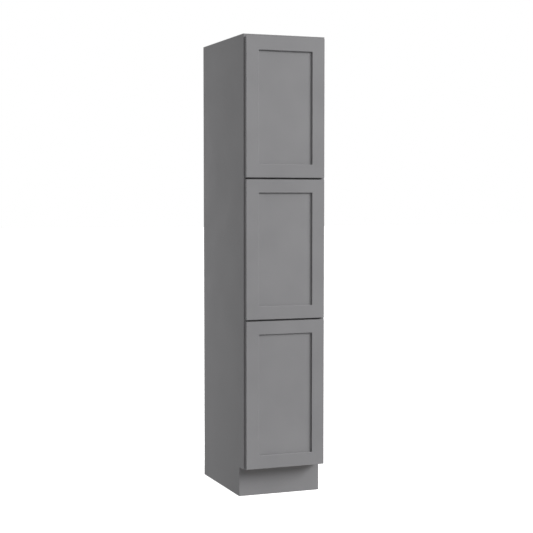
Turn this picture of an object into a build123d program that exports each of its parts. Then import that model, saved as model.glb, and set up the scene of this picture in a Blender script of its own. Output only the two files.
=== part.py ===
from build123d import *
import os

# Tall pantry cabinet: a plywood box with a solid face frame and three overlay
# doors, each with a frame and a recessed panel, hung on concealed cup hinges.
#
# Millimetres. X runs to the right as one stands in front of the doors, Y runs
# back towards the wall, Z runs up. The origin is on the floor, under the middle
# of the cabinet's width and of its depth, doors included.

os.makedirs("parts", exist_ok=True)

# ---------------------------------------------------------------- overall size
cabinet_width = 457.2
cabinet_height = 2438.4
cabinet_depth = 685.8  # door fronts to wall
toe_height = 156.5  # floor to the underside of the face frame
toe_recess = 69.85  # face frame front to toe kick front

# ------------------------------------------------------------------ box boards
side_thickness = 12.7
board_thickness = 12.7  # top panel and bottom deck
shelf_thickness = 19.05
back_thickness = 6.35
dado_depth = 6.35  # grooves in the side panels that hold the boards
dado_end_gap = 0.4  # glue room between a board's end and its groove's bottom
hanging_rail_height = 76.2
hanging_rail_thickness = 12.7
toe_board_thickness = 12.7
toe_skin_thickness = 6.35
glue_block_size = 22.0
glue_block_height = 130.0

# ------------------------------------------------------------------ face frame
frame_thickness = 19.05
frame_member_width = 38.1
dowel_radius = 4.0
dowel_length = 50.0
dowel_end_gap = 1.0
dowel_spacing = 18.0
frame_edge_radius = 0.8

# ----------------------------------------------------------------------- doors
door_thickness = 19.05
door_stile_width = 69.85
door_rail_width = 69.85
door_side_reveal = 8.0  # face frame seen beside a closed door
door_top_reveal = 12.7  # face frame seen above the top door
door_bottom_reveal = 3.0  # face frame seen below the bottom door
door_gap = 9.525  # between one door and the next
door_standoff = 3.0  # door back to face frame front
upper_split_height = 1689.3  # middle of the gap between top and middle door
lower_split_height = 944.8  # middle of the gap between middle and bottom door
panel_thickness = 6.35
panel_recess = 9.525  # door front to panel front
groove_depth = 9.525  # panel groove in stiles and rails
tenon_end_gap = 0.5
panel_float = 1.5  # room for the panel to move in its groove
door_edge_radius = 0.9
door_inner_radius = 2.0  # rounding of the frame's edge round the panel

# ---------------------------------------------------------- adjustable shelves
shelf_side_gap = 1.6
shelf_front_setback = 18.0
shelf_back_gap = 4.0
pin_radius = 2.5
pin_depth = 9.0
pin_hole_end_gap = 0.5
pin_pitch = 50.8
pin_end_distance = 120.0  # least distance from a compartment's end to a pin row
pin_front_inset = 60.0  # front pin column to the front edge of a side panel
pin_back_inset = 60.0  # rear pin column to the back panel
clip_size = 11.0
clip_thickness = 1.8
shelf_shares = {  # compartment, and how far up it the shelf hangs
    "shelf_top": ("top", 1 / 2),
    "shelf_middle_lower": ("middle", 1 / 3),
    "shelf_middle_upper": ("middle", 2 / 3),
    "shelf_bottom": ("bottom", 1 / 2),
}

# ---------------------------------------------------------------------- hinges
hinge_end_distance = 90.0  # cup centre to the end of its door
cup_radius = 17.5
cup_edge_distance = 3.0  # cup hole to the hinge edge of the door
cup_depth = 12.5
cup_wall = 1.0
flange_thickness = 1.0
flange_margin = 1.5
flange_wing_length = 58.0
flange_wing_width = 15.0
flange_corner_radius = 2.0
pivot_inset = 7.0  # pivot to the hinge edge of the door
swing_air = 0.5  # turning door to face frame, at the nearest
hinge_pin_radius = 1.0
hinge_pin_clearance = 0.05
knuckle_radius = 2.0
ear_thickness = 1.5
ear_reach = 2.5  # pin axis to the edge of an ear
ear_inner_half = 4.8  # middle of the hinge to the inside of an ear
knuckle_end_gap = 0.3
arm_thickness = 1.5
arm_bend_radius = 2.0
arm_leg_offset = 11.0  # leg to the middle of the cup
arm_frame_air = 0.25  # arm to the front of the face frame
plate_half_height = 20.0
plate_front_setback = 1.0  # mounting plate to face frame front
plate_back_margin = 1.5  # mounting plate to face frame back
plate_corner_radius = 2.0
screw_radius = 1.75
screw_head_radius = 3.5
screw_head_height = 1.2
screw_end_gap = 0.5
cup_screw_length = 11.0
cup_screw_spacing = 45.0
cup_screw_offset = 9.5  # screw line to the cup's centre
arm_screw_length = 16.0
arm_screw_spacing = 28.0

# --------------------------------------------------------------------- bumpers
bumper_radius = 4.0
bumper_air = 0.3  # closed bumper to face frame
bumper_edge_distance = 15.0
bumper_end_distance = 22.0

# ------------------------------------------------------------- worked-out lines
half_width = cabinet_width / 2
inner_half_width = half_width - side_thickness
door_front_y = -cabinet_depth / 2
door_back_y = door_front_y + door_thickness
frame_front_y = door_back_y + door_standoff
frame_back_y = frame_front_y + frame_thickness
rear_y = cabinet_depth / 2
back_rear_y = rear_y - hanging_rail_thickness
back_front_y = back_rear_y - back_thickness
toe_skin_front_y = frame_front_y + toe_recess
notch_y = toe_skin_front_y + toe_skin_thickness
frame_inner_half = half_width - frame_member_width

deck_top_z = toe_height + frame_member_width
deck_bottom_z = deck_top_z - board_thickness
top_bottom_z = cabinet_height - board_thickness
lower_rail_top_z = lower_split_height + frame_member_width / 2
upper_rail_top_z = upper_split_height + frame_member_width / 2
lower_shelf_bottom_z = lower_rail_top_z - shelf_thickness
upper_shelf_bottom_z = upper_rail_top_z - shelf_thickness

door_left_x = -half_width + door_side_reveal
door_right_x = half_width - door_side_reveal
door_spans = {
    "top": (upper_split_height + door_gap / 2, cabinet_height - door_top_reveal),
    "middle": (lower_split_height + door_gap / 2, upper_split_height - door_gap / 2),
    "bottom": (toe_height + door_bottom_reveal, lower_split_height - door_gap / 2),
}
groove_front_y = door_front_y + panel_recess
groove_back_y = groove_front_y + panel_thickness

# The door's back corner swings in an arc round the pivot. This depth keeps the
# arc clear of the face frame by the swing's air.
swing_reach = door_standoff - swing_air
pivot_depth = (pivot_inset**2 - swing_reach**2) / (2 * swing_reach)
pivot_x = door_right_x - pivot_inset
pivot_y = door_back_y - pivot_depth
cup_x = door_right_x - cup_edge_distance - cup_radius
hinge_heights = {
    name: (bottom + hinge_end_distance, top - hinge_end_distance)
    for name, (bottom, top) in door_spans.items()
}
pin_half_length = ear_inner_half + ear_thickness
knuckle_half_length = ear_inner_half - knuckle_end_gap
arm_leg_x = cup_x - arm_leg_offset
cup_screw_x = cup_x - cup_screw_offset
arm_screw_y = (frame_front_y + frame_back_y) / 2
plate_x = frame_inner_half - arm_thickness

pin_front_y = frame_back_y + pin_front_inset
pin_back_y = back_front_y - pin_back_inset
compartments = {
    "top": (upper_rail_top_z, top_bottom_z),
    "middle": (lower_rail_top_z, upper_shelf_bottom_z),
    "bottom": (deck_top_z, lower_shelf_bottom_z),
}


# --------------------------------------------------------------------- helpers
def block(x_span, y_span, z_span, mode=Mode.ADD):
    """A square-edged block between two planes in each direction."""
    spans = (x_span, y_span, z_span)
    with Locations([tuple((low + high) / 2 for low, high in spans)]):
        Box(*(high - low for low, high in spans), mode=mode)


def rod(centre, radius, length, direction, mode=Mode.ADD):
    """A round rod that starts at centre and runs along direction."""
    with Locations(Plane(origin=centre, z_dir=direction)):
        Cylinder(radius, length, align=(Align.CENTER, Align.CENTER, Align.MIN), mode=mode)


def save(builder, name):
    """Label a finished piece and write it."""
    builder.part.label = name
    export_step(builder.part, f"parts/{name}.step")


def pin_row_count(compartment):
    """How many rows of shelf pin holes a compartment has room for."""
    low, high = compartments[compartment]
    return 1 + int((high - low - 2 * pin_end_distance) // pin_pitch)


def shelf_pin_height(compartment, share):
    """Height of the pin row nearest to a share of the compartment's height."""
    low, high = compartments[compartment]
    first_row = (low + high) / 2 - (pin_row_count(compartment) - 1) / 2 * pin_pitch
    row = round((low + share * (high - low) - first_row) / pin_pitch)
    return first_row + row * pin_pitch


def front_edges(builder):
    """The four edges round the front face of a block."""
    return builder.faces().sort_by(Axis.Y)[0].edges()


# ----------------------------------------------------------------- side panels
# Plywood, notched at the toe, grooved inside for the boards and the back, with
# two columns of shelf pin holes in each compartment.
for side_name, sign in (("left", -1), ("right", 1)):
    outer_x = sign * half_width
    inner_x = sign * inner_half_width
    low_x = min(outer_x, inner_x)
    groove_x = sorted((inner_x, inner_x + sign * dado_depth))
    with BuildPart() as side_panel:
        with BuildSketch(Plane.YZ.offset(low_x)):
            with BuildLine():
                Polyline(
                    (notch_y, 0),
                    (rear_y, 0),
                    (rear_y, cabinet_height),
                    (frame_back_y, cabinet_height),
                    (frame_back_y, toe_height),
                    (notch_y, toe_height),
                    close=True,
                )
            make_face()
        extrude(amount=side_thickness)
        for bottom_z, thickness in (
            (deck_bottom_z, board_thickness),
            (lower_shelf_bottom_z, shelf_thickness),
            (upper_shelf_bottom_z, shelf_thickness),
        ):
            block(
                groove_x,
                (frame_back_y, back_front_y),
                (bottom_z, bottom_z + thickness),
                mode=Mode.SUBTRACT,
            )
        block(groove_x, (frame_back_y, rear_y), (top_bottom_z, cabinet_height), mode=Mode.SUBTRACT)
        block(
            groove_x,
            (back_front_y, back_rear_y),
            (deck_bottom_z, top_bottom_z),
            mode=Mode.SUBTRACT,
        )
        for compartment, (low_z, high_z) in compartments.items():
            middle = (inner_x, (pin_front_y + pin_back_y) / 2, (low_z + high_z) / 2)
            rows = pin_row_count(compartment)
            with BuildSketch(Plane(origin=middle, x_dir=(0, 1, 0), z_dir=(sign, 0, 0))):
                with GridLocations(pin_back_y - pin_front_y, pin_pitch, 2, rows):
                    Circle(pin_radius)
            extrude(amount=pin_depth + pin_hole_end_gap, mode=Mode.SUBTRACT)
    save(side_panel, f"side_panel_{side_name}")

# ------------------------------------------------------------- box boards
board_half = inner_half_width + dado_depth - dado_end_gap
board_x = (-board_half, board_half)

with BuildPart() as top_panel:
    block(board_x, (frame_back_y, rear_y), (top_bottom_z, cabinet_height))
save(top_panel, "top_panel")

with BuildPart() as bottom_deck:
    block(board_x, (frame_back_y, back_front_y), (deck_bottom_z, deck_top_z))
save(bottom_deck, "bottom_deck")

for shelf_name, bottom_z in (("lower", lower_shelf_bottom_z), ("upper", upper_shelf_bottom_z)):
    with BuildPart() as fixed_shelf:
        block(board_x, (frame_back_y, back_front_y), (bottom_z, bottom_z + shelf_thickness))
    save(fixed_shelf, f"fixed_shelf_{shelf_name}")

with BuildPart() as back_panel:
    block(board_x, (back_front_y, back_rear_y), (deck_bottom_z, top_bottom_z))
save(back_panel, "back_panel")

# Hanging rails fill the space behind the back panel: the wall screws go here.
hanging_rail_bottoms = {
    "top": top_bottom_z - hanging_rail_height,
    "upper": upper_split_height - hanging_rail_height / 2,
    "lower": lower_split_height - hanging_rail_height / 2,
    "bottom": deck_bottom_z,
}
for rail_name, bottom_z in hanging_rail_bottoms.items():
    with BuildPart() as hanging_rail:
        block(
            (-inner_half_width, inner_half_width),
            (back_rear_y, rear_y),
            (bottom_z, bottom_z + hanging_rail_height),
        )
    save(hanging_rail, f"hanging_rail_{rail_name}")

# -------------------------------------------------------------------- toe kick
with BuildPart() as toe_kick_board:
    block(
        (-inner_half_width, inner_half_width),
        (notch_y, notch_y + toe_board_thickness),
        (0, deck_bottom_z),
    )
save(toe_kick_board, "toe_kick_board")

with BuildPart() as toe_kick_skin:
    block((-half_width, half_width), (toe_skin_front_y, notch_y), (0, toe_height))
save(toe_kick_skin, "toe_kick_skin")

with BuildPart() as toe_glue_blocks:
    for sign in (-1, 1):
        block_x = sorted((sign * inner_half_width, sign * (inner_half_width - glue_block_size)))
        block_front_y = notch_y + toe_board_thickness
        block(
            block_x,
            (block_front_y, block_front_y + glue_block_size),
            (deck_bottom_z - glue_block_height, deck_bottom_z),
        )
save(toe_glue_blocks, "toe_glue_blocks")

# ------------------------------------------------------------------ face frame
# Rails butt against the stiles, and two dowels hold each end.
frame_rail_bottoms = {
    "top": cabinet_height - frame_member_width,
    "upper": upper_rail_top_z - frame_member_width,
    "lower": lower_rail_top_z - frame_member_width,
    "bottom": toe_height,
}
dowel_y = (frame_front_y + frame_back_y) / 2
dowel_heights = [
    bottom_z + frame_member_width / 2 + step * dowel_spacing / 2
    for bottom_z in frame_rail_bottoms.values()
    for step in (-1, 1)
]


def dowel_rods(end_gap, mode=Mode.ADD):
    """Every dowel of the face frame, or with an end gap its hole."""
    half_length = dowel_length / 2 + end_gap
    for sign in (-1, 1):
        for height in dowel_heights:
            start = (sign * frame_inner_half - half_length, dowel_y, height)
            rod(start, dowel_radius, 2 * half_length, (1, 0, 0), mode=mode)


for side_name, sign in (("left", -1), ("right", 1)):
    stile_x = sorted((sign * half_width, sign * frame_inner_half))
    with BuildPart() as frame_stile:
        block(stile_x, (frame_front_y, frame_back_y), (toe_height, cabinet_height))
        fillet(front_edges(frame_stile), radius=frame_edge_radius)
        dowel_rods(dowel_end_gap, mode=Mode.SUBTRACT)
        if side_name == "right":
            for heights in hinge_heights.values():
                for height in heights:
                    for step in (-1, 1):
                        rod(
                            (frame_inner_half, arm_screw_y, height + step * arm_screw_spacing / 2),
                            screw_radius,
                            arm_screw_length - arm_thickness + screw_end_gap,
                            (1, 0, 0),
                            mode=Mode.SUBTRACT,
                        )
    save(frame_stile, f"frame_stile_{side_name}")

for rail_name, bottom_z in frame_rail_bottoms.items():
    with BuildPart() as frame_rail:
        block(
            (-frame_inner_half, frame_inner_half),
            (frame_front_y, frame_back_y),
            (bottom_z, bottom_z + frame_member_width),
        )
        fillet(front_edges(frame_rail).filter_by(Axis.X), radius=frame_edge_radius)
        dowel_rods(dowel_end_gap, mode=Mode.SUBTRACT)
    save(frame_rail, f"frame_rail_{rail_name}")

with BuildPart() as frame_dowels:
    dowel_rods(0)
save(frame_dowels, "frame_dowels")

# ---------------------------------------------------------- adjustable shelves
shelf_half_width = inner_half_width - shelf_side_gap
for shelf_name, place in shelf_shares.items():
    shelf_z = shelf_pin_height(*place) + pin_radius
    with BuildPart() as shelf:
        block(
            (-shelf_half_width, shelf_half_width),
            (frame_back_y + shelf_front_setback, back_front_y - shelf_back_gap),
            (shelf_z, shelf_z + shelf_thickness),
        )
    save(shelf, shelf_name)

# Steel clips: a pin in the side panel, a plate against it and a ledge.
with BuildPart() as shelf_pins:
    for place in shelf_shares.values():
        height = shelf_pin_height(*place)
        ledge_top = height + pin_radius
        for sign in (-1, 1):
            wall_x = sign * inner_half_width
            for pin_y in (pin_front_y, pin_back_y):
                clip_y = (pin_y - clip_size / 2, pin_y + clip_size / 2)
                block(
                    sorted((wall_x, wall_x - sign * clip_thickness)),
                    clip_y,
                    (ledge_top - clip_size, ledge_top),
                )
                block(
                    sorted((wall_x, wall_x - sign * clip_size)),
                    clip_y,
                    (ledge_top - clip_thickness, ledge_top),
                )
                rod((wall_x, pin_y, height), pin_radius, pin_depth, (sign, 0, 0))
save(shelf_pins, "shelf_pins")


# ----------------------------------------------------------------------- doors
def panel_groove(x_span, z_span):
    """Cut the groove that holds a door's panel."""
    block(x_span, (groove_front_y, groove_back_y), z_span, mode=Mode.SUBTRACT)


def cup_seats(heights):
    """Cut the cup holes and their screw holes in a door's hinge stile."""
    for height in heights:
        rod((cup_x, door_back_y, height), cup_radius, cup_depth, (0, -1, 0), mode=Mode.SUBTRACT)
        for step in (-1, 1):
            rod(
                (cup_screw_x, door_back_y, height + step * cup_screw_spacing / 2),
                screw_radius,
                cup_screw_length - flange_thickness + screw_end_gap,
                (0, -1, 0),
                mode=Mode.SUBTRACT,
            )


door_y = (door_front_y, door_back_y)
opening_left_x = door_left_x + door_stile_width
opening_right_x = door_right_x - door_stile_width
tenon_reach = groove_depth - tenon_end_gap
panel_reach = groove_depth - panel_float

for door_name, (door_bottom, door_top) in door_spans.items():
    opening_bottom = door_bottom + door_rail_width
    opening_top = door_top - door_rail_width

    # Stiles run the full height, with eased edges. The larger rounding towards the
    # panel stops at the rails, so that the joints are flush. Behind it is a groove.
    for side_name, outer_x, inner_x, sign in (
        ("left", door_left_x, opening_left_x, 1),
        ("right", door_right_x, opening_right_x, -1),
    ):
        with BuildPart() as door_stile:
            block(sorted((outer_x, inner_x)), door_y, (door_bottom, door_top))
            long_edges = door_stile.edges().filter_by(Axis.Y, reverse=True)
            inner_middle = (inner_x, door_front_y, (door_bottom + door_top) / 2)
            fillet(long_edges.sort_by_distance(inner_middle)[1:], radius=door_edge_radius)
            round_x = inner_x - sign * door_inner_radius
            with BuildSketch(Plane.XY.offset(opening_bottom)):
                with Locations(((round_x + inner_x) / 2, door_front_y + door_inner_radius / 2)):
                    Rectangle(door_inner_radius, door_inner_radius)
                with Locations((round_x, door_front_y + door_inner_radius)):
                    Circle(door_inner_radius, mode=Mode.SUBTRACT)
            extrude(amount=opening_top - opening_bottom, mode=Mode.SUBTRACT)
            panel_groove(sorted((inner_x, inner_x - sign * groove_depth)), (door_bottom, door_top))
            if side_name == "right":
                cup_seats(hinge_heights[door_name])
        save(door_stile, f"door_{door_name}_stile_{side_name}")

    # Rails stand between the stiles, with the same roundings and a stub tenon at
    # each end.
    for rail_name, outer_z, inner_z, sign in (
        ("top", door_top, opening_top, -1),
        ("bottom", door_bottom, opening_bottom, 1),
    ):
        rail_z = sorted((outer_z, inner_z))
        with BuildPart() as door_rail:
            block((opening_left_x, opening_right_x), door_y, rail_z)
            inner_middle = (0, door_front_y, inner_z)
            long_edges = door_rail.edges().filter_by(Axis.X)
            fillet(long_edges.sort_by_distance(inner_middle)[1:], radius=door_edge_radius)
            inner_edge = door_rail.edges().sort_by_distance(inner_middle)[0]
            fillet(inner_edge, radius=door_inner_radius)
            block(
                (opening_left_x - tenon_reach, opening_right_x + tenon_reach),
                (groove_front_y, groove_back_y),
                rail_z,
            )
            panel_groove(
                (opening_left_x - tenon_reach, opening_right_x + tenon_reach),
                sorted((inner_z, inner_z - sign * groove_depth)),
            )
        save(door_rail, f"door_{door_name}_rail_{rail_name}")

    with BuildPart() as door_panel:
        block(
            (opening_left_x - panel_reach, opening_right_x + panel_reach),
            (groove_front_y, groove_back_y),
            (opening_bottom - panel_reach, opening_top + panel_reach),
        )
    save(door_panel, f"door_{door_name}_panel")

    # Soft bumpers near the free edge, on the back of the door.
    with BuildPart() as door_bumpers:
        for height in (door_bottom + bumper_end_distance, door_top - bumper_end_distance):
            rod(
                (door_left_x + bumper_edge_distance, door_back_y, height),
                bumper_radius,
                door_standoff - bumper_air,
                (0, 1, 0),
            )
    save(door_bumpers, f"door_bumpers_{door_name}")

# ---------------------------------------------------------------------- hinges
ear_x = (pivot_x - ear_reach, pivot_x + ear_reach)
cup_floor_y = door_back_y - cup_depth
flange_back_y = door_back_y + flange_thickness
web_front_y = pivot_y - knuckle_radius
jog_back_y = frame_front_y - arm_frame_air
jog_x = (min(arm_leg_x, plate_x), max(arm_leg_x + arm_thickness, frame_inner_half))
plate_front_y = frame_front_y + plate_front_setback
plate_back_y = frame_back_y - plate_back_margin

for door_name, heights in hinge_heights.items():
    # Steel cup with a flange on the door's back and two ears for the pin.
    with BuildPart() as hinge_cups:
        for height in heights:
            cup_plane = Plane(origin=(cup_x, cup_floor_y, height), x_dir=(1, 0, 0), z_dir=(0, 1, 0))
            with BuildSketch(cup_plane):
                Circle(cup_radius)
                Circle(cup_radius - cup_wall, mode=Mode.SUBTRACT)
            extrude(amount=cup_depth)
            with BuildSketch(cup_plane):
                Circle(cup_radius)
            extrude(amount=cup_wall)
            with BuildSketch(cup_plane):
                for step in (-1, 1):
                    with Locations((pivot_x - cup_x, step * (ear_inner_half + ear_thickness / 2))):
                        Rectangle(2 * ear_reach, ear_thickness)
                Circle(cup_radius, mode=Mode.INTERSECT)
            extrude(amount=cup_depth - pivot_depth + ear_reach)
            with BuildSketch(cup_plane.offset(cup_depth)):
                Circle(cup_radius + flange_margin)
                with Locations((-cup_screw_offset, 0)):
                    RectangleRounded(flange_wing_width, flange_wing_length, flange_corner_radius)
                Circle(cup_radius - cup_wall, mode=Mode.SUBTRACT)
                with Locations((-cup_screw_offset, 0)):
                    with GridLocations(0, cup_screw_spacing, 1, 2):
                        Circle(screw_radius, mode=Mode.SUBTRACT)
            extrude(amount=flange_thickness)
            rod(
                (pivot_x, pivot_y, height - pin_half_length),
                hinge_pin_radius,
                2 * pin_half_length,
                (0, 0, 1),
                mode=Mode.SUBTRACT,
            )
    save(hinge_cups, f"hinge_cups_{door_name}")

    with BuildPart() as hinge_pins:
        for height in heights:
            rod(
                (pivot_x, pivot_y, height - pin_half_length),
                hinge_pin_radius,
                2 * pin_half_length,
                (0, 0, 1),
            )
    save(hinge_pins, f"hinge_pins_{door_name}")

    with BuildPart() as hinge_cup_screws:
        for height in heights:
            for step in (-1, 1):
                screw_z = height + step * cup_screw_spacing / 2
                rod(
                    (cup_screw_x, flange_back_y, screw_z),
                    screw_radius,
                    cup_screw_length,
                    (0, -1, 0),
                )
                rod(
                    (cup_screw_x, flange_back_y, screw_z),
                    screw_head_radius,
                    screw_head_height,
                    (0, 1, 0),
                )
    save(hinge_cup_screws, f"hinge_cup_screws_{door_name}")

    # Cranked arm: a knuckle round the pin, a web along the cup's bottom, a leg
    # out of the cup's mouth, a jog in front of the face frame and a plate on the
    # frame's inner edge.
    with BuildPart() as hinge_arms:
        for height in heights:
            with BuildSketch(Plane.XY.offset(height - knuckle_half_length)):
                for x_span, y_span in (
                    ((arm_leg_x, pivot_x), (web_front_y, web_front_y + arm_thickness)),
                    ((arm_leg_x, arm_leg_x + arm_thickness), (web_front_y, jog_back_y)),
                    (jog_x, (jog_back_y - arm_thickness, jog_back_y)),
                    ((plate_x, frame_inner_half), (jog_back_y - arm_thickness, plate_back_y)),
                ):
                    with Locations((sum(x_span) / 2, sum(y_span) / 2)):
                        Rectangle(x_span[1] - x_span[0], y_span[1] - y_span[0])
                bend = vertices().sort_by_distance((arm_leg_x, web_front_y))[0]
                fillet(bend, radius=arm_bend_radius)
                with Locations((pivot_x, pivot_y)):
                    Circle(knuckle_radius)
                    Circle(hinge_pin_radius + hinge_pin_clearance, mode=Mode.SUBTRACT)
            extrude(amount=2 * knuckle_half_length)
            plate_middle = (plate_x, (plate_front_y + plate_back_y) / 2, height)
            with BuildSketch(Plane(origin=plate_middle, x_dir=(0, 1, 0), z_dir=(1, 0, 0))):
                RectangleRounded(
                    plate_back_y - plate_front_y,
                    2 * plate_half_height,
                    plate_corner_radius,
                )
                with Locations((arm_screw_y - plate_middle[1], 0)):
                    with GridLocations(0, arm_screw_spacing, 1, 2):
                        Circle(screw_radius, mode=Mode.SUBTRACT)
            extrude(amount=arm_thickness)
    save(hinge_arms, f"hinge_arms_{door_name}")

with BuildPart() as hinge_arm_screws:
    for heights in hinge_heights.values():
        for height in heights:
            for step in (-1, 1):
                start = (plate_x, arm_screw_y, height + step * arm_screw_spacing / 2)
                rod(start, screw_radius, arm_screw_length, (1, 0, 0))
                rod(start, screw_head_radius, screw_head_height, (-1, 0, 0))
save(hinge_arm_screws, "hinge_arm_screws")
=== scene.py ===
# %% [markdown]
# # A tall pantry cabinet
#
# This lesson dresses a kitchen pantry cabinet. The real thing is a plywood box
# with a solid maple face frame on its front, and three doors hung one over the
# other. Outside it wears a sprayed satin paint, and inside the birch plywood only
# has a clear coat. The shapes come from a CAD model, so the lesson is about what
# the model can't carry: eased edges, paint, plywood, plated steel, and light.

import math

import bmesh
import bpy
from mathutils import Matrix, Vector


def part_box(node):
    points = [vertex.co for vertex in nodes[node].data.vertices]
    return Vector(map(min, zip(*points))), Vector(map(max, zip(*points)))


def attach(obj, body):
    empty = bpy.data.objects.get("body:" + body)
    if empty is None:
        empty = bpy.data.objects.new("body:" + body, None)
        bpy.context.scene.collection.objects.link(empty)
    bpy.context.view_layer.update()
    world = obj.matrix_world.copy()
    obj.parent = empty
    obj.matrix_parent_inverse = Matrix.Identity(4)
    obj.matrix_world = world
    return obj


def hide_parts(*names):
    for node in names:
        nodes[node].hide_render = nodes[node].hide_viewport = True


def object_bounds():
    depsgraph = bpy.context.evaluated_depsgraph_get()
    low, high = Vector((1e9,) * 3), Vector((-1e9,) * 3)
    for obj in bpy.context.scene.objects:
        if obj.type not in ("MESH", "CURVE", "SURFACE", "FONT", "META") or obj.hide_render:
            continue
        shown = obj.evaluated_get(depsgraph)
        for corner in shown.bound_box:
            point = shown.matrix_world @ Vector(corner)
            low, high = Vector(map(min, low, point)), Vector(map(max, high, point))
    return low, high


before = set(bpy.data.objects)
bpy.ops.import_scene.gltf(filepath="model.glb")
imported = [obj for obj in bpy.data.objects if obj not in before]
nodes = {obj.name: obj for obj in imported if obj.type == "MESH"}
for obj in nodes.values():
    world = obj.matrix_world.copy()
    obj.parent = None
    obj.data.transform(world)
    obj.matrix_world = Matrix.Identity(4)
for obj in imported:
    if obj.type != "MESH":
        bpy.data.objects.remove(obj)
cad_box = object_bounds()
print("cabinet, metres:", [round(high - low, 4) for low, high in zip(*cad_box)])

# %% [markdown]
# ## The camera
#
# A tall object looks calm when its upright edges stay upright. A long lens, far
# away and held almost level, does that: this one is nearly three times as far away
# as the cabinet is tall. It stands to the left of the cabinet at eye height, so
# that the left side shows beside the doors, and it tips down by only three degrees.
# Depth of field stays off, because a catalogue picture is sharp from front to back.

# %% Place the camera
camera_data = bpy.data.cameras.new("camera")
camera_data.sensor_width = 36.0
camera_data.lens = 87.4
camera = bpy.data.objects.new("camera", camera_data)
camera.location = (-2.532, -6.672, 1.586)
turned_right, tipped_down = math.radians(20.95), math.radians(3.02)
camera.rotation_euler = (math.pi / 2 - tipped_down, 0, -turned_right)
bpy.context.scene.collection.objects.link(camera)
bpy.context.scene.camera = camera
cabinet_middle = (cad_box[0] + cad_box[1]) / 2
print("camera distance:", round((camera.location - cabinet_middle).length, 2), "m")

# %% [markdown]
# ## A helper for node materials
#
# Every finish here is a small network of nodes. Written out in full, each node
# takes four or five lines, and the idea drowns in them. One helper that makes a
# node, sets its values and plugs in its inputs keeps each finish short enough to
# read like a recipe.


# %% Make and wire nodes
def new_material(name):
    """A material with an empty node tree but for its surface shader."""
    material = bpy.data.materials.new(name)
    material.use_nodes = True
    return material, material.node_tree.nodes["Principled BSDF"]


def set_inputs(material, node, **inputs):
    """Set or plug a node's inputs. Base_Color is "Base Color", and _0 is the first."""
    for key, value in inputs.items():
        name = key.replace("_", " ")
        socket = node.inputs[int(name) if name.strip().isdigit() else name]
        if isinstance(value, bpy.types.NodeSocket):
            material.node_tree.links.new(value, socket)
        else:
            socket.default_value = value


def add_node(material, kind, settings=None, **inputs):
    """Add a node. An input is a value, or a socket to plug in."""
    node = material.node_tree.nodes.new("ShaderNode" + kind)
    for key, value in (settings or {}).items():
        setattr(node, key, value)
    set_inputs(material, node, **inputs)
    return node


def place_on(material):
    """Coordinates that stay with the piece as it swings, in metres."""
    return add_node(material, "TexCoord").outputs["Object"]


def stretched_noise(material, scale, detail=3.0):
    """Noise with its own scale, per metre, along X, Y and Z."""
    mapping = add_node(material, "Mapping", Vector=place_on(material), Scale=scale)
    stretched = mapping.outputs["Vector"]
    return add_node(material, "TexNoise", Vector=stretched, Scale=1.0, Detail=detail).outputs["Fac"]


def even_noise(material, scale, detail=3.0):
    """Noise with the same scale, per metre, in every direction."""
    return stretched_noise(material, (scale, scale, scale), detail)


def along_grain(grain, along, across):
    """Noise scales, slow along the grain's axis and fast across it."""
    return tuple(along if axis == grain else across for axis in "XYZ")


def spread(material, value, low, high, start=0.3, end=0.7):
    """Spread a noise value over a range of numbers."""
    return add_node(
        material, "MapRange", Value=value, From_Min=start, From_Max=end, To_Min=low, To_Max=high
    ).outputs["Result"]


def blend_colours(material, amount, first, second):
    """Two colours, mixed by an amount from 0 to 1."""
    mix = add_node(material, "Mix", {"data_type": "RGBA"}, _0=amount)
    set_inputs(material, mix, _6=first, _7=second)
    return mix.outputs[2]


def relief(material, height, depth, below=None):
    """Bumps of a real depth in metres, on top of any bumps below."""
    node = add_node(material, "Bump", Height=height, Distance=depth)
    if below is not None:
        set_inputs(material, node, Normal=below)
    return node.outputs["Normal"]


# %% [markdown]
# ## Satin paint
#
# The doors and the face frame are sprayed with a catalysed grey paint. Up close
# such paint is never quite smooth: the spray dries with a faint ripple a couple of
# millimetres across, called orange peel, and the wood's grain sinks a few
# hundredths of a millimetre and shows as long soft lines. A picture of paint could
# be wrapped round each board, but noise in three dimensions is better here,
# because it has real sizes, no seams, and can run along each board's own grain.

# %% Mix the paint
PAINT = (0.226, 0.224, 0.231, 1)
PAINT_THIN = (0.240, 0.238, 0.245, 1)
SATIN = (0.44, 0.53)  # roughness, at its smoothest and its dullest
PEEL_DEPTH, SUNK_GRAIN_DEPTH = 0.00005, 0.00006


def paint_coat(material, grain):
    """Colour, roughness and bumps of satin paint over wood grained along an axis."""
    grain_lines = stretched_noise(material, along_grain(grain, 9.0, 420.0), detail=4.0)
    peel = even_noise(material, 560.0, detail=1.0)
    clouds = even_noise(material, 5.0, detail=2.0)
    thinness = spread(material, clouds, 0.0, 1.0)
    colour = blend_colours(material, thinness, PAINT, PAINT_THIN)
    bumps = relief(material, grain_lines, SUNK_GRAIN_DEPTH)
    bumps = relief(material, peel, PEEL_DEPTH, below=bumps)
    return colour, spread(material, clouds, *SATIN), bumps


def finish(name, recipe, *facts):
    """A material whose colour, roughness and bumps come from a recipe."""
    material, shader = new_material(name)
    colour, roughness, bumps = recipe(material, *facts)
    set_inputs(material, shader, Base_Color=colour, Roughness=roughness, Normal=bumps)
    return material


paint_upright = finish("satin_paint_upright", paint_coat, "Z")
paint_level = finish("satin_paint_level", paint_coat, "X")
print("paint colour:", PAINT[:3])


def dress(material, *names):
    """Give CAD nodes a material."""
    for name in names:
        for slot in nodes[name].material_slots:
            slot.material = material


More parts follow.
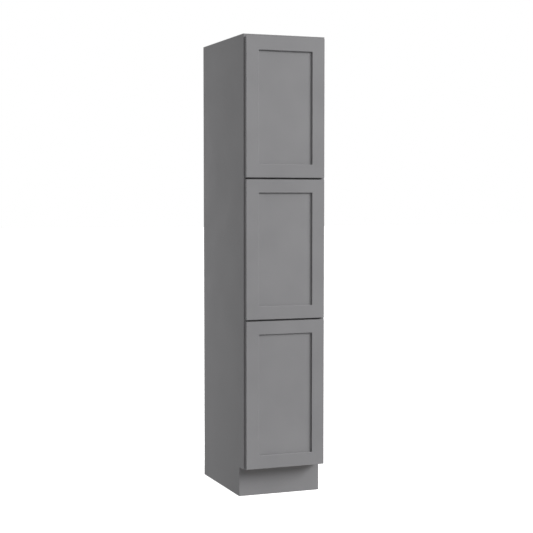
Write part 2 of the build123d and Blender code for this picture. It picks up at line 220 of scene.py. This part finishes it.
doors = ("top", "middle", "bottom")
upright_parts, level_parts = ("stile_left", "stile_right", "panel"), ("rail_top", "rail_bottom")
for door in doors:
    dress(paint_upright, *(f"door_{door}_{part}" for part in upright_parts))
    dress(paint_level, *(f"door_{door}_{part}" for part in level_parts))
dress(paint_upright, "frame_stile_left", "frame_stile_right")
dress(paint_level, *(f"frame_rail_{part}" for part in ("top", "upper", "lower", "bottom")))
dress(paint_level, "toe_kick_skin")
paints = (paint_upright, paint_level)
print("painted nodes:", sum(node.active_material in paints for node in nodes.values()))

# %% [markdown]
# ## Birch veneer
#
# The box is birch plywood under a clear coat. Its face is a sheet peeled off a
# turning log, so the year rings spread into broad wavy bands, with fine streaks
# along the grain and tiny dark flecks. A wood texture could be painted by hand,
# but the same three layers come out of stretched noise: slow noise bent into
# bands for the rings, finer noise for the streaks, and a sharp cut of very fine
# noise for the flecks.

# %% Draw the veneer
BIRCH, BIRCH_RING = (0.73, 0.59, 0.43, 1), (0.64, 0.48, 0.32, 1)
BIRCH_FLECK = (0.42, 0.27, 0.15, 1)
RING_TURNS = 90.0  # how far the noise drives the sine that draws the rings
RING_SHARE, STREAK_SHARE, FLECK_SHARE = 0.45, 0.55, 0.35
FLECK_CUT = (0.64, 0.72)  # only the noise's few highest peaks become flecks


def maths(material, operation, first, second=0.0):
    """One sum on one or two values."""
    node = add_node(material, "Math", {"operation": operation}, _0=first)
    set_inputs(material, node, _1=second)
    return node.outputs["Value"]


def veneer(material, grain, pale=BIRCH, ring=BIRCH_RING):
    """Colour and streaks of clear-coated wood, grained along an axis."""
    slow = stretched_noise(material, along_grain(grain, 0.9, 5.0), detail=2.0)
    bands = maths(material, "SINE", maths(material, "MULTIPLY", slow, RING_TURNS))
    streaks = stretched_noise(material, along_grain(grain, 5.0, 240.0), detail=4.0)
    flecks = stretched_noise(material, along_grain(grain, 90.0, 1100.0), detail=1.0)
    rings = spread(material, bands, 0.0, RING_SHARE, -1.0, 1.0)
    depth = maths(material, "ADD", rings, spread(material, streaks, 0.0, STREAK_SHARE))
    colour = blend_colours(material, depth, pale, ring)
    fleck_amount = spread(material, flecks, 0.0, FLECK_SHARE, *FLECK_CUT)
    return blend_colours(material, fleck_amount, colour, BIRCH_FLECK), streaks


# %% [markdown]
# ## The edge of plywood
#
# Where plywood is cut, its layers show as stripes, light where the grain runs
# along the edge and dark where the end grain faces out. Stripes could be modelled
# as thin boards, but nobody sees more than their colour. Each board's own
# coordinates run from 0 to 1 through its thickness, so counting layers in them
# puts whole stripes on any board, wherever it stands. The surface's direction
# tells the face of the board from its edge.

# %% Stack the layers
END_GRAIN = (0.43, 0.29, 0.18, 1)
CLEAR_COAT = (0.36, 0.50)  # roughness, at its smoothest and its dullest
PORE_DEPTH = 0.00004
LAYER_WANDER, FIBRE_SHARE = 0.15, 0.6
FACE_ON, FRONT_ON = 0.7, 0.5  # how squarely a surface faces an axis, up to 1
DECK_LAYERS, SHELF_LAYERS, BACK_LAYERS = 9, 13, 5


def part_of(material, vector, axis):
    """One of a vector's three parts."""
    parts = add_node(material, "SeparateXYZ", Vector=vector)
    return parts.outputs[axis]


def facing(material, axis):
    """How far the surface faces along an axis, from -1 to 1, in the piece's own frame."""
    return part_of(material, add_node(material, "TexCoord").outputs["Normal"], axis)


def plywood_board(material, through, grain, layers, banded=False):
    """Clear-coated plywood: its thickness axis, grain axis and number of layers.

    A banded board has a strip of veneer over its front edge.
    """
    face, streaks = veneer(material, grain)
    level = part_of(material, add_node(material, "TexCoord").outputs["Generated"], through)
    wander = spread(material, even_noise(material, 70.0), -LAYER_WANDER, LAYER_WANDER)
    count = maths(material, "ADD", maths(material, "MULTIPLY", level, float(layers)), wander)
    stripe = maths(material, "GREATER_THAN", maths(material, "PINGPONG", count, 1.0), 0.5)
    fibres = even_noise(material, 500.0, detail=2.0)
    paleness = spread(material, fibres, 0.0, FIBRE_SHARE)
    end_grain = blend_colours(material, paleness, END_GRAIN, face)
    edge = blend_colours(material, stripe, face, end_grain)
    squareness = maths(material, "ABSOLUTE", facing(material, through))
    is_edge = maths(material, "LESS_THAN", squareness, FACE_ON)
    if banded:
        bare = maths(material, "GREATER_THAN", facing(material, "Y"), -FRONT_ON)
        is_edge = maths(material, "MULTIPLY", is_edge, bare)
    colour = blend_colours(material, is_edge, face, edge)
    roughness = spread(material, streaks, *CLEAR_COAT)
    return colour, roughness, relief(material, streaks, PORE_DEPTH)


# %% Dress the plywood boards
fixed_board = finish("birch_plywood_level", plywood_board, "Z", "X", DECK_LAYERS)
fixed_shelf = finish("birch_plywood_shelf", plywood_board, "Z", "X", SHELF_LAYERS)
loose_shelf = finish("birch_plywood_banded", plywood_board, "Z", "X", SHELF_LAYERS, True)
back_board = finish("birch_plywood_back", plywood_board, "Y", "Z", BACK_LAYERS)
rail_board = finish("birch_plywood_rail", plywood_board, "Y", "X", DECK_LAYERS)

dress(fixed_board, "top_panel", "bottom_deck")
dress(fixed_shelf, "fixed_shelf_lower", "fixed_shelf_upper")
dress(loose_shelf, "shelf_top", "shelf_middle_lower", "shelf_middle_upper", "shelf_bottom")
dress(back_board, "back_panel")
dress(rail_board, *(f"hanging_rail_{part}" for part in ("top", "upper", "lower", "bottom")))
dress(rail_board, "toe_kick_board")
shelf_low, shelf_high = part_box("shelf_top")
print("one shelf layer:", round((shelf_high.z - shelf_low.z) / SHELF_LAYERS * 1000, 2), "mm")

# %% [markdown]
# ## The side panels
#
# A side panel is one board with two finishes: paint outside, where the kitchen
# sees it, and bare birch with a clear coat inside. The board could be cut into two
# shells, but then its cut edge would show a seam. One material that mixes both
# recipes keeps the board whole. The paint goes where the outer face is, and on the
# small edges over the toe notch, which the sprayer reaches too.


# %% Paint one face of a board
def mix_values(material, amount, first, second, kind="FLOAT"):
    """Two numbers or two vectors, mixed by an amount from 0 to 1."""
    first_in, second_in, out = {"FLOAT": (2, 3, 0), "VECTOR": (4, 5, 1)}[kind]
    mix = add_node(material, "Mix", {"data_type": kind}, _0=amount)
    set_inputs(material, mix, **{f"_{first_in}": first, f"_{second_in}": second})
    return mix.outputs[out]


side_low, side_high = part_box("side_panel_right")
toe_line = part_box("toe_kick_skin")[1].z
PAINT_LAP = 0.0004  # how far paint reaches round a corner


def side_board(material):
    """Paint on the outside of a side panel, birch plywood inside."""
    paint_colour, paint_rough, paint_bumps = paint_coat(material, "Z")
    wood_colour, wood_rough, wood_bumps = plywood_board(material, "X", "Z", DECK_LAYERS)
    place = place_on(material)
    out = maths(material, "ABSOLUTE", part_of(material, place, "X"))
    outer = maths(material, "GREATER_THAN", out, side_high.x - PAINT_LAP)
    below = maths(material, "LESS_THAN", facing(material, "Z"), -FRONT_ON)
    low = maths(material, "LESS_THAN", part_of(material, place, "Z"), toe_line + PAINT_LAP)
    front = maths(material, "LESS_THAN", facing(material, "Y"), -FRONT_ON)
    edges = maths(material, "MULTIPLY", maths(material, "MAXIMUM", below, front), low)
    painted = maths(material, "MAXIMUM", outer, edges)
    return (
        blend_colours(material, painted, wood_colour, paint_colour),
        mix_values(material, painted, wood_rough, paint_rough),
        mix_values(material, painted, wood_bumps, paint_bumps, "VECTOR"),
    )


side_finish = finish("satin_paint_side", side_board)
dress(side_finish, "side_panel_left", "side_panel_right")
print("side panel:", [round(1000 * size, 1) for size in side_high - side_low], "mm")

# %% [markdown]
# ## Solid wood
#
# The dowels are beech and the two glue blocks are offcuts of the same. They have
# the veneer's streaks but no broad rings to speak of, and beech is a little
# redder, so the veneer's recipe serves again with another pair of colours.

# %% Dress the solid wood
BEECH, BEECH_DARK = (0.60, 0.40, 0.26, 1), (0.48, 0.29, 0.17, 1)
BARE_WOOD = (0.55, 0.70)  # roughness, at its smoothest and its dullest
SAWN_DEPTH = 0.00008


def solid_wood(material, grain):
    """Bare beech, grained along an axis."""
    colour, streaks = veneer(material, grain, BEECH, BEECH_DARK)
    return colour, spread(material, streaks, *BARE_WOOD), relief(material, streaks, SAWN_DEPTH)


dress(finish("beech_level", solid_wood, "X"), "frame_dowels")
dress(finish("beech_upright", solid_wood, "Z"), "toe_glue_blocks")
print("beech colour:", BEECH[:3])

# %% [markdown]
# ## Nickel plate
#
# Hinge cups, arms, pins and shelf clips are stamped from steel and plated with
# nickel. The plate is smooth and bright, but tumbling before plating leaves it
# with very fine scratches and soft patches. A mirror-smooth metal would look like
# glass, so the roughness wanders a little and a hair-fine bump breaks up the
# shine. Nickel's warm tone sets it apart from the cooler zinc of the screws.

# %% Plate the hinges and clips
NICKEL, ZINC = (0.70, 0.68, 0.65, 1), (0.72, 0.74, 0.77, 1)
SCRATCH_DEPTH = 0.000001


def plate(name, colour, smooth, dull):
    """Plated steel with tumbled scratches: its smoothest and dullest roughness."""
    material, shader = new_material(name)
    patches = even_noise(material, 90.0, detail=2.0)
    scratches = stretched_noise(material, (1500.0, 6000.0, 3500.0), detail=2.0)
    set_inputs(
        material,
        shader,
        Base_Color=colour,
        Metallic=1.0,
        Roughness=spread(material, patches, smooth, dull),
        Normal=relief(material, scratches, SCRATCH_DEPTH),
    )
    return material


nickel = plate("nickel_plate", NICKEL, 0.26, 0.34)
zinc = plate("zinc_plate", ZINC, 0.28, 0.38)
for door in doors:
    dress(nickel, f"hinge_cups_{door}", f"hinge_arms_{door}", f"hinge_pins_{door}")
dress(nickel, "shelf_pins")
print("plated nodes:", 3 * len(doors) + 1)

# %% [markdown]
# ## Where the small parts sit
#
# Screws and bumpers come in groups: one CAD node holds every screw of its kind.
# To put a better screw in each place, the lesson needs the places. Typing them in
# would go wrong as soon as a size changed, so a short walk over the node's mesh
# finds each separate solid and measures its box.


# %% Find the solids in a node
SAME_PLACE = 0.000001


def solids(name):
    """The low and high corner of each separate solid in a node, lowest first."""
    shape = bmesh.new()
    shape.from_mesh(nodes[name].data)
    bmesh.ops.remove_doubles(shape, verts=shape.verts, dist=SAME_PLACE)
    waiting, boxes = set(shape.verts), []
    while waiting:
        reached, places = [waiting.pop()], []
        while reached:
            vert = reached.pop()
            places.append(vert.co.copy())
            neighbours = {edge.other_vert(vert) for edge in vert.link_edges} & waiting
            waiting -= neighbours
            reached.extend(neighbours)
        boxes.append(tuple(Vector(map(pick, zip(*places))) for pick in (min, max)))
    shape.free()
    return sorted(boxes, key=lambda box: tuple(round(c, 5) for c in (box[0].z, box[0].x, box[0].y)))


print("screws in one door:", len(solids("hinge_cup_screws_top")))

# %% [markdown]
# ## Screws
#
# Small pan-head screws hold the hinges. A lathe is the natural way to make one: a
# profile of a few radii and heights, spun round an axis, gives the thread, the
# neck and the domed head. The cross recess isn't round, so it is cut out afterwards
# with a Boolean, by two crossed tapered blades. Each kind of screw is made once, at
# the size its place needs, and copied to every place.


# %% Turn a shape on the lathe
LATHE_SIDES = 40


def lathe(profile):
    """A closed shape spun round Z from pairs of radius and height, lowest first."""
    shape = bmesh.new()
    rings = []
    for radius, height in profile:
        if radius == 0:
            rings.append([shape.verts.new((0, 0, height))])
            continue
        angles = (2 * math.pi * step / LATHE_SIDES for step in range(LATHE_SIDES))
        places = ((radius * math.cos(a), radius * math.sin(a), height) for a in angles)
        rings.append([shape.verts.new(place) for place in places])
    for lower, upper in zip(rings, rings[1:]):
        for step in range(LATHE_SIDES):
            corners = [lower[step % len(lower)], lower[(step + 1) % len(lower)]]
            corners += [upper[(step + 1) % len(upper)], upper[step % len(upper)]]
            shape.faces.new(list(dict.fromkeys(corners)))
    bmesh.ops.recalc_face_normals(shape, faces=shape.faces)
    return shape


THREAD_PITCH, NECK_LENGTH = 0.0012, 0.0015
HEAD_STEPS = 6


def screw_profile(length, shank, head, head_height):
    """From the tip up: a point, thread ridges, a neck and a domed head."""
    root, neck = 0.7 * shank, 0.85 * shank
    point = -length + 1.6 * shank
    profile = [(0, -length), (root, point)]
    for ridge in range(int((-NECK_LENGTH - point) / THREAD_PITCH)):
        foot = point + ridge * THREAD_PITCH
        for radius, share in ((root, 0.3), (shank, 0.6), (root, 0.9)):
            profile.append((radius, foot + share * THREAD_PITCH))
    rim = 0.12 * head_height
    profile += [(neck, -NECK_LENGTH), (neck, 0), (0.96 * head, 0), (head, rim)]
    for step in range(1, HEAD_STEPS):
        lean = step / HEAD_STEPS * math.pi / 2
        profile.append((head * math.cos(lean), rim + (head_height - rim) * math.sin(lean)))
    return profile + [(0, head_height)]


# %% Cut the cross recess
BLADE_THICKNESS = 0.42  # as a share of its reach
BLADE_TAPER = 0.62
OVERCUT = 0.0005  # how far the blades stand out of the head
RECESS_REACH, RECESS_DEPTH = 0.52, 0.8  # as shares of the head's radius and height


def cross_cutter(reach, top, depth):
    """Two crossed blades, tapered towards the bottom."""
    shape = bmesh.new()
    for turn in (0, math.pi / 2):
        blade = bmesh.ops.create_cube(shape, size=1.0)["verts"]
        for vert in blade:
            taper = 1.0 if vert.co.z > 0 else BLADE_TAPER
            vert.co.x *= 2 * reach * taper
            vert.co.y *= BLADE_THICKNESS * reach * taper
            vert.co.z = top + OVERCUT if vert.co.z > 0 else top - depth
        bmesh.ops.rotate(shape, verts=blade, matrix=Matrix.Rotation(turn, 3, "Z"))
    return shape


def new_object(name, shape, material=None):
    """An object in the scene from a finished shape."""
    mesh = bpy.data.meshes.new(name)
    shape.to_mesh(mesh)
    shape.free()
    piece = bpy.data.objects.new(name, mesh)
    bpy.context.scene.collection.objects.link(piece)
    if material:
        mesh.materials.append(material)
    return piece


def make_screw(length, shank, head, head_height):
    """The mesh of one screw. Its head sits on z = 0, and it points down."""
    blank = new_object("screw_blank", lathe(screw_profile(length, shank, head, head_height)))
    cross = cross_cutter(RECESS_REACH * head, head_height, RECESS_DEPTH * head_height)
    cutter = new_object("cross", cross)
    cut = blank.modifiers.new("cross_recess", "BOOLEAN")
    cut.object, cut.operation, cut.solver = cutter, "DIFFERENCE", "EXACT"
    cut.use_self = True
    finished = blank.evaluated_get(bpy.context.evaluated_depsgraph_get())
    mesh = bpy.data.meshes.new_from_object(finished)
    for piece in (blank, cutter):
        bpy.data.objects.remove(piece)
    return mesh


# %% Drive the screws
SHARP = math.radians(35)  # a steeper corner than this stays sharp


def turn_to(direction, axis="-Z"):
    """The turn that points an axis along a direction."""
    return direction.to_track_quat(axis, "Y").to_matrix().to_4x4()


def copies(name, mesh, places, material):
    """One object that holds a copy of a mesh at each place."""
    shape = bmesh.new()
    for place in places:
        start = len(shape.verts)
        shape.from_mesh(mesh)
        shape.verts.ensure_lookup_table()
        bmesh.ops.transform(shape, matrix=place, verts=shape.verts[start:])
    piece = new_object(name, shape, material)
    piece.data.shade_smooth()
    piece.data.set_sharp_from_angle(angle=SHARP)
    return piece


SHANK, HEAD_HEIGHT = 0.00175, 0.0012
NEXT_STOP = 0.7  # radians between one screw's cross and the next one's


def drive(boxes, inward, name):
    """Screws in their boxes, each pointing along inward."""
    low, high = boxes[0]
    axis = max(range(3), key=lambda i: abs(inward[i]))
    head = (high - low)[(axis + 1) % 3] / 2
    mesh = make_screw((high - low)[axis] - HEAD_HEIGHT, SHANK, head, HEAD_HEIGHT)
    places = []
    for step, (low, high) in enumerate(boxes):
        seat = (low + high) / 2
        outer = low[axis] if inward[axis] > 0 else high[axis]
        seat[axis] = outer + inward[axis] * HEAD_HEIGHT
        stop = Matrix.Rotation(NEXT_STOP * step, 4, "Z")
        places.append(Matrix.Translation(seat) @ turn_to(inward) @ stop)
    return copies(name, mesh, places, zinc)


for door in doors:
    node = f"hinge_cup_screws_{door}"
    screws = drive(solids(node), Vector((0, -1, 0)), f"cup_screws_{door}")
    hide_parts(node)
    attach(screws, f"door_{door}")
    print(screws.name, len(screws.data.vertices), "points")

arm_boxes, to_frame = solids("hinge_arm_screws"), Vector((1, 0, 0))
arm_screws = drive(arm_boxes, to_frame, "arm_screws")
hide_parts("hinge_arm_screws")
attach(arm_screws, "cabinet")

# %% [markdown]
# ## Adjusting cams
#
# Between the two screws of each mounting plate sits a small eccentric cam with
# the same cross recess. Turning it moves the door sideways by a millimetre or
# two. It is a flat disc, so the screw's profile serves with a wider head and
# almost no shank.

# %% Set the cams
CAM_LENGTH, CAM_SHANK, CAM_RADIUS, CAM_HEIGHT = 0.0014, 0.0012, 0.0029, 0.0008
cam_mesh = make_screw(CAM_LENGTH, CAM_SHANK, CAM_RADIUS, CAM_HEIGHT)
cam_places = []
for first, second in zip(arm_boxes[0::2], arm_boxes[1::2]):
    middle = sum((*first, *second), Vector()) / 4
    middle.x = first[0].x + HEAD_HEIGHT
    stop = Matrix.Rotation(middle.z, 4, "Z")
    cam_places.append(Matrix.Translation(middle) @ turn_to(to_frame) @ stop)
cams = copies("hinge_cams", cam_mesh, cam_places, nickel)
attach(cams, "cabinet")
print("cams:", len(cam_places))

# %% [markdown]
# ## Door bumpers
#
# Two clear drops of soft plastic on the back of each door quieten it when it
# shuts. A drop is a low dome with a thin flat foot, so it comes off the lathe too.
# Clear plastic bends light a little less than glass, and handling leaves its
# surface slightly matt.

# %% Stick on the bumpers
clear, clear_shader = new_material("clear_plastic")
matt = even_noise(clear, 900.0, detail=2.0)
set_inputs(
    clear,
    clear_shader,
    Base_Color=(0.90, 0.92, 0.93, 1),
    Transmission_Weight=0.85,
    IOR=1.48,
    Roughness=spread(clear, matt, 0.14, 0.26),
)


DOME_STEPS, DOME_FLATNESS = 9, 0.6  # a flatness of 1 would be half round


def dome_profile(radius, height):
    """From the foot up: a straight rim, then a flattened round top."""
    rim = 0.25 * height
    profile = [(0, 0), (radius, 0), (radius, rim)]
    for step in range(1, DOME_STEPS):
        lean = step / DOME_STEPS * math.pi / 2
        across = radius * math.cos(lean) ** DOME_FLATNESS
        profile.append((across, rim + (height - rim) * math.sin(lean)))
    return profile + [(0, height)]


for door in doors:
    node = f"door_bumpers_{door}"
    boxes = solids(node)
    low, high = boxes[0]
    dome = new_object("dome", lathe(dome_profile((high.x - low.x) / 2, high.y - low.y)))
    backwards = turn_to(Vector((0, 1, 0)), "Z")
    feet = [Vector(((low.x + high.x) / 2, low.y, (low.z + high.z) / 2)) for low, high in boxes]
    places = [Matrix.Translation(foot) @ backwards for foot in feet]
    bumpers = copies(f"bumpers_{door}", dome.data, places, clear)
    bpy.data.objects.remove(dome)
    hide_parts(node)
    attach(bumpers, f"door_{door}")
    print(bumpers.name, len(boxes))

# %% [markdown]
# ## Eased edges
#
# A joiner never leaves a dead sharp corner. The doors and the face frame already
# have rounded edges in the CAD model, and those catch the thin lines of light that
# outline each panel. The loose boards only get a stroke of sandpaper. A Bevel
# modifier gives them that without touching the CAD model's points. Each CAD face
# has its own corner points, so a Weld joins them first.


# %% Ease the boards
SANDED, WELD_REACH = 0.0004, 0.00002


def ease(node):
    """Round a node's sharp edges as sandpaper does."""
    weld = node.modifiers.new("weld", "WELD")
    weld.merge_threshold = WELD_REACH
    bevel = node.modifiers.new("eased_edges", "BEVEL")
    bevel.width, bevel.segments = SANDED, 2
    bevel.limit_method, bevel.angle_limit = "ANGLE", SHARP


kinds = ("shelf_", "fixed_shelf_", "hanging_rail_", "top_panel", "bottom_deck", "toe_kick_skin")
boards = [name for name in nodes if name.startswith(kinds) and name != "shelf_pins"]
for name in boards:
    ease(nodes[name])
print("eased boards:", len(boards))

# %% [markdown]
# ## The floor
#
# A catalogue picture shows the cabinet on a white floor that melts into a white
# wall. A curved backdrop does that in a studio. Here a flat floor is enough, if it
# glows almost as white as the wall: then only a breath of shadow is left under the
# toe. The glow shows to the camera alone. If it shed light too, the cabinet's lower
# half would look paler than its upper half.

# %% Lay the floor
FLOOR_REACH, FLOOR_GLOW = 60.0, 0.78
FLOOR_WHITE, MATT = (0.9, 0.9, 0.9, 1), 0.9

floor_shape = bmesh.new()
bmesh.ops.create_grid(floor_shape, x_segments=1, y_segments=1, size=FLOOR_REACH)
floor_material, floor_shader = new_material("white_floor")
set_inputs(floor_material, floor_shader, Base_Color=FLOOR_WHITE, Roughness=MATT)
set_inputs(floor_material, floor_shader, Emission_Color=(1, 1, 1, 1), Emission_Strength=FLOOR_GLOW)
floor = new_object("floor", floor_shape, floor_material)
floor.location.z = cad_box[0].z
floor.visible_diffuse = False
floor.visible_glossy = False
print("floor height:", round(floor.location.z, 4), "m")

# %% [markdown]
# ## The lamps
#
# One lamp does the modelling. Its light comes from the right and slants down by
# less than thirty degrees, so it lights the doors, leaves the left side in half
# shade and draws a thin shadow inside each door's frame. A sun lamp suits it,
# because its light is equally strong from the cabinet's top to its toe. A wide sun
# keeps the shadow of a thin step crisp, and lets the deep shadow in the toe space
# melt away. A second lamp, a tall soft panel behind on the left, lifts the rear of
# the left side.


# %% Hang the lamps
def hang(data, name):
    """A lamp in the scene, out of the camera's sight."""
    lamp = bpy.data.objects.new(name, data)
    lamp.visible_camera = False
    bpy.context.scene.collection.objects.link(lamp)
    return lamp


KEY_RIGHT, KEY_HEIGHT, KEY_WIDTH = math.radians(52), math.radians(27), math.radians(26)
KEY_STRENGTH, PANEL_STRENGTH = 2.74, 10.5
PANEL_SIZE, PANEL_TURN = (1.2, 2.6), math.radians(68)
PANEL_LEFT, PANEL_BEHIND = 1.5, 0.6  # from the cabinet's rear left corner

key = bpy.data.lights.new("key_lamp", "SUN")
key.energy, key.angle = KEY_STRENGTH, KEY_WIDTH
level = math.cos(KEY_HEIGHT)
towards = Vector((math.sin(KEY_RIGHT) * level, -math.cos(KEY_RIGHT) * level, math.sin(KEY_HEIGHT)))
hang(key, "key_lamp").rotation_euler = towards.to_track_quat("Z", "Y").to_euler()

panel = bpy.data.lights.new("panel_lamp", "AREA")
panel.shape, panel.energy = "RECTANGLE", PANEL_STRENGTH
panel.size, panel.size_y = PANEL_SIZE
panel_lamp = hang(panel, "panel_lamp")
panel_lamp.location = (cad_box[0].x - PANEL_LEFT, cad_box[1].y + PANEL_BEHIND, cad_box[1].z / 2)
panel_lamp.rotation_euler = (math.pi / 2, 0, -PANEL_TURN)
print("lamps:", len(bpy.data.lights))

# %% [markdown]
# ## A black card
#
# The thin lines beside the doors and inside their frames only look deep when
# nothing lights them from the side. More lamps can't help with that, so
# photographers take light away: a matt black card stands on the left, a few steps
# from the cabinet. The narrow steps that face it go dark, while the broad faces
# lose little, and the left side turns gently darker towards the doors.

# %% Stand the card
CARD_WIDTH, CARD_HEIGHT = 3.2, 3.6
CARD_LEFT, CARD_FORWARD = 2.45, 1.7  # from the cabinet's front left corner
CARD_MIDDLE = 1.3  # above the floor
CARD_TURN = math.radians(55)
CARD_BLACK = (0.02, 0.02, 0.02, 1)

card_shape = bmesh.new()
bmesh.ops.create_grid(card_shape, x_segments=1, y_segments=1, size=0.5)
card_material, card_shader = new_material("black_card")
set_inputs(card_material, card_shader, Base_Color=CARD_BLACK, Roughness=MATT)
card = new_object("black_card", card_shape, card_material)
card.scale = (CARD_WIDTH, CARD_HEIGHT, 1)
card.location = (cad_box[0].x - CARD_LEFT, cad_box[0].y - CARD_FORWARD, CARD_MIDDLE)
card.rotation_euler = (math.pi / 2, 0, -CARD_TURN)
card.visible_camera = False
print("card:", CARD_WIDTH, "by", CARD_HEIGHT, "m")

# %% [markdown]
# ## The surroundings
#
# A room's own light fills the shadows. It comes mostly from above, less from the
# floor, and least from the dark furniture and walls at eye level. That dark band
# matters: the gaps between the doors look straight out into it, and so they stay
# dark. A colour ramp over the height of each direction, from -1 straight down to 1
# straight up, paints the three zones. The camera sees plain white instead, through
# a second background. The helpers for materials serve here too, because a world
# holds nodes as well.

# %% Light the surroundings
LIGHT_BY_HEIGHT = ((-1, 0.74), (-0.45, 0.56), (-0.1, 0.20), (0.1, 0.20), (0.45, 0.78), (1, 0.95))

world = bpy.data.worlds.new("studio")
bpy.context.scene.world = world
world.use_nodes = True
upward = part_of(world, add_node(world, "TexCoord").outputs["Generated"], "Z")
share = maths(world, "ADD", maths(world, "MULTIPLY", upward, 0.5), 0.5)
zones = add_node(world, "ValToRGB", Fac=share)
stops = zones.color_ramp.elements
while len(stops) < len(LIGHT_BY_HEIGHT):
    stops.new(0.5)
for stop, (height, light) in zip(stops, LIGHT_BY_HEIGHT):
    stop.position = 0.5 + height / 2
    stop.color = (light, light, light, 1)

surround = world.node_tree.nodes["Background"]
set_inputs(world, surround, Color=zones.outputs["Color"])
backdrop = add_node(world, "Background", Color=(1, 1, 1, 1))
seen = add_node(world, "LightPath").outputs["Is Camera Ray"]
choose = add_node(world, "MixShader", _0=seen, _1=surround.outputs[0], _2=backdrop.outputs[0])
set_inputs(world, world.node_tree.nodes["World Output"], Surface=choose.outputs[0])
bpy.context.scene.view_settings.view_transform = "Standard"
print("light by height:", LIGHT_BY_HEIGHT)
